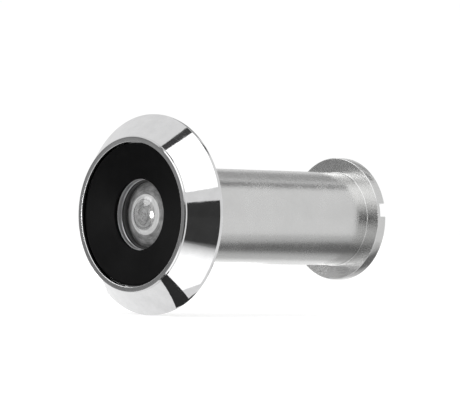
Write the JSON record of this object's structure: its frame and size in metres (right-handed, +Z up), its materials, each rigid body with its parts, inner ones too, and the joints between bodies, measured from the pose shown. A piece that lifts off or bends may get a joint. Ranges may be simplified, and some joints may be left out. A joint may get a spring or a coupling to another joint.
{
  "type": "door viewer",
  "caption": "Door viewer with a conical bezel, black dish and wide-angle lens stack on a threaded tube, clamped through a door by a slotted sleeve that screws over it.",
  "frame": {"origin": "on the optical axis, in the plane of the bezel's back face, where it seats on the outer face of the door", "axes": "+Y along the optical axis from outdoors to indoors, +Z up, +X to the right for someone outdoors facing the door"},
  "size_m": [0.0292, 0.0437, 0.0292],
  "materials": {
    "chrome_plate": "polished chrome plate on brass",
    "black_dish": "satin black moulding",
    "nickel_thread": "nickel plate over a cut thread",
    "satin_nickel": "satin nickel plate",
    "grey_ring": "dark grey, fine turned",
    "lens_glass": "clear, polished",
    "seal_rubber": "matt",
    "bare_brass": "turned brass",
    "washer_fibre": "pressed fibre",
    "spring_steel": "plain spring steel"
  },
  "bodies": {
    "objective": {"bezel": "chrome_plate", "black_dish": "black_dish", "objective_tube": "nickel_thread", "front_lens_ring": "grey_ring", "front_lens": "lens_glass", "front_seal": "seal_rubber", "second_lens": "lens_glass", "lens_spacer": "nickel_thread", "third_lens": "lens_glass", "field_stop": "nickel_thread", "lens_lock_ring": "bare_brass"},
    "carriage": {"eyepiece_lens": "lens_glass"},
    "sleeve": {"sleeve": "satin_nickel", "eyepiece_washer": "washer_fibre", "eyepiece_ring": "spring_steel"}
  },
  "joints": [
    {"name": "door_thickness", "type": "slide", "parent": "objective", "child": "carriage", "axis": [0, 1, 0], "range_m": [-0.0025, 0.0195]},
    {"name": "sleeve_turn", "type": "hinge", "parent": "carriage", "child": "sleeve", "pos_m": [0, 0.0375, 0], "axis": [0, 1, 0], "range_deg": [-900, 7020]}
  ],
  "couplings": [
    {"joint": "sleeve_turn", "follows": "door_thickness", "rad_per_m": 6283.2}
  ]
}
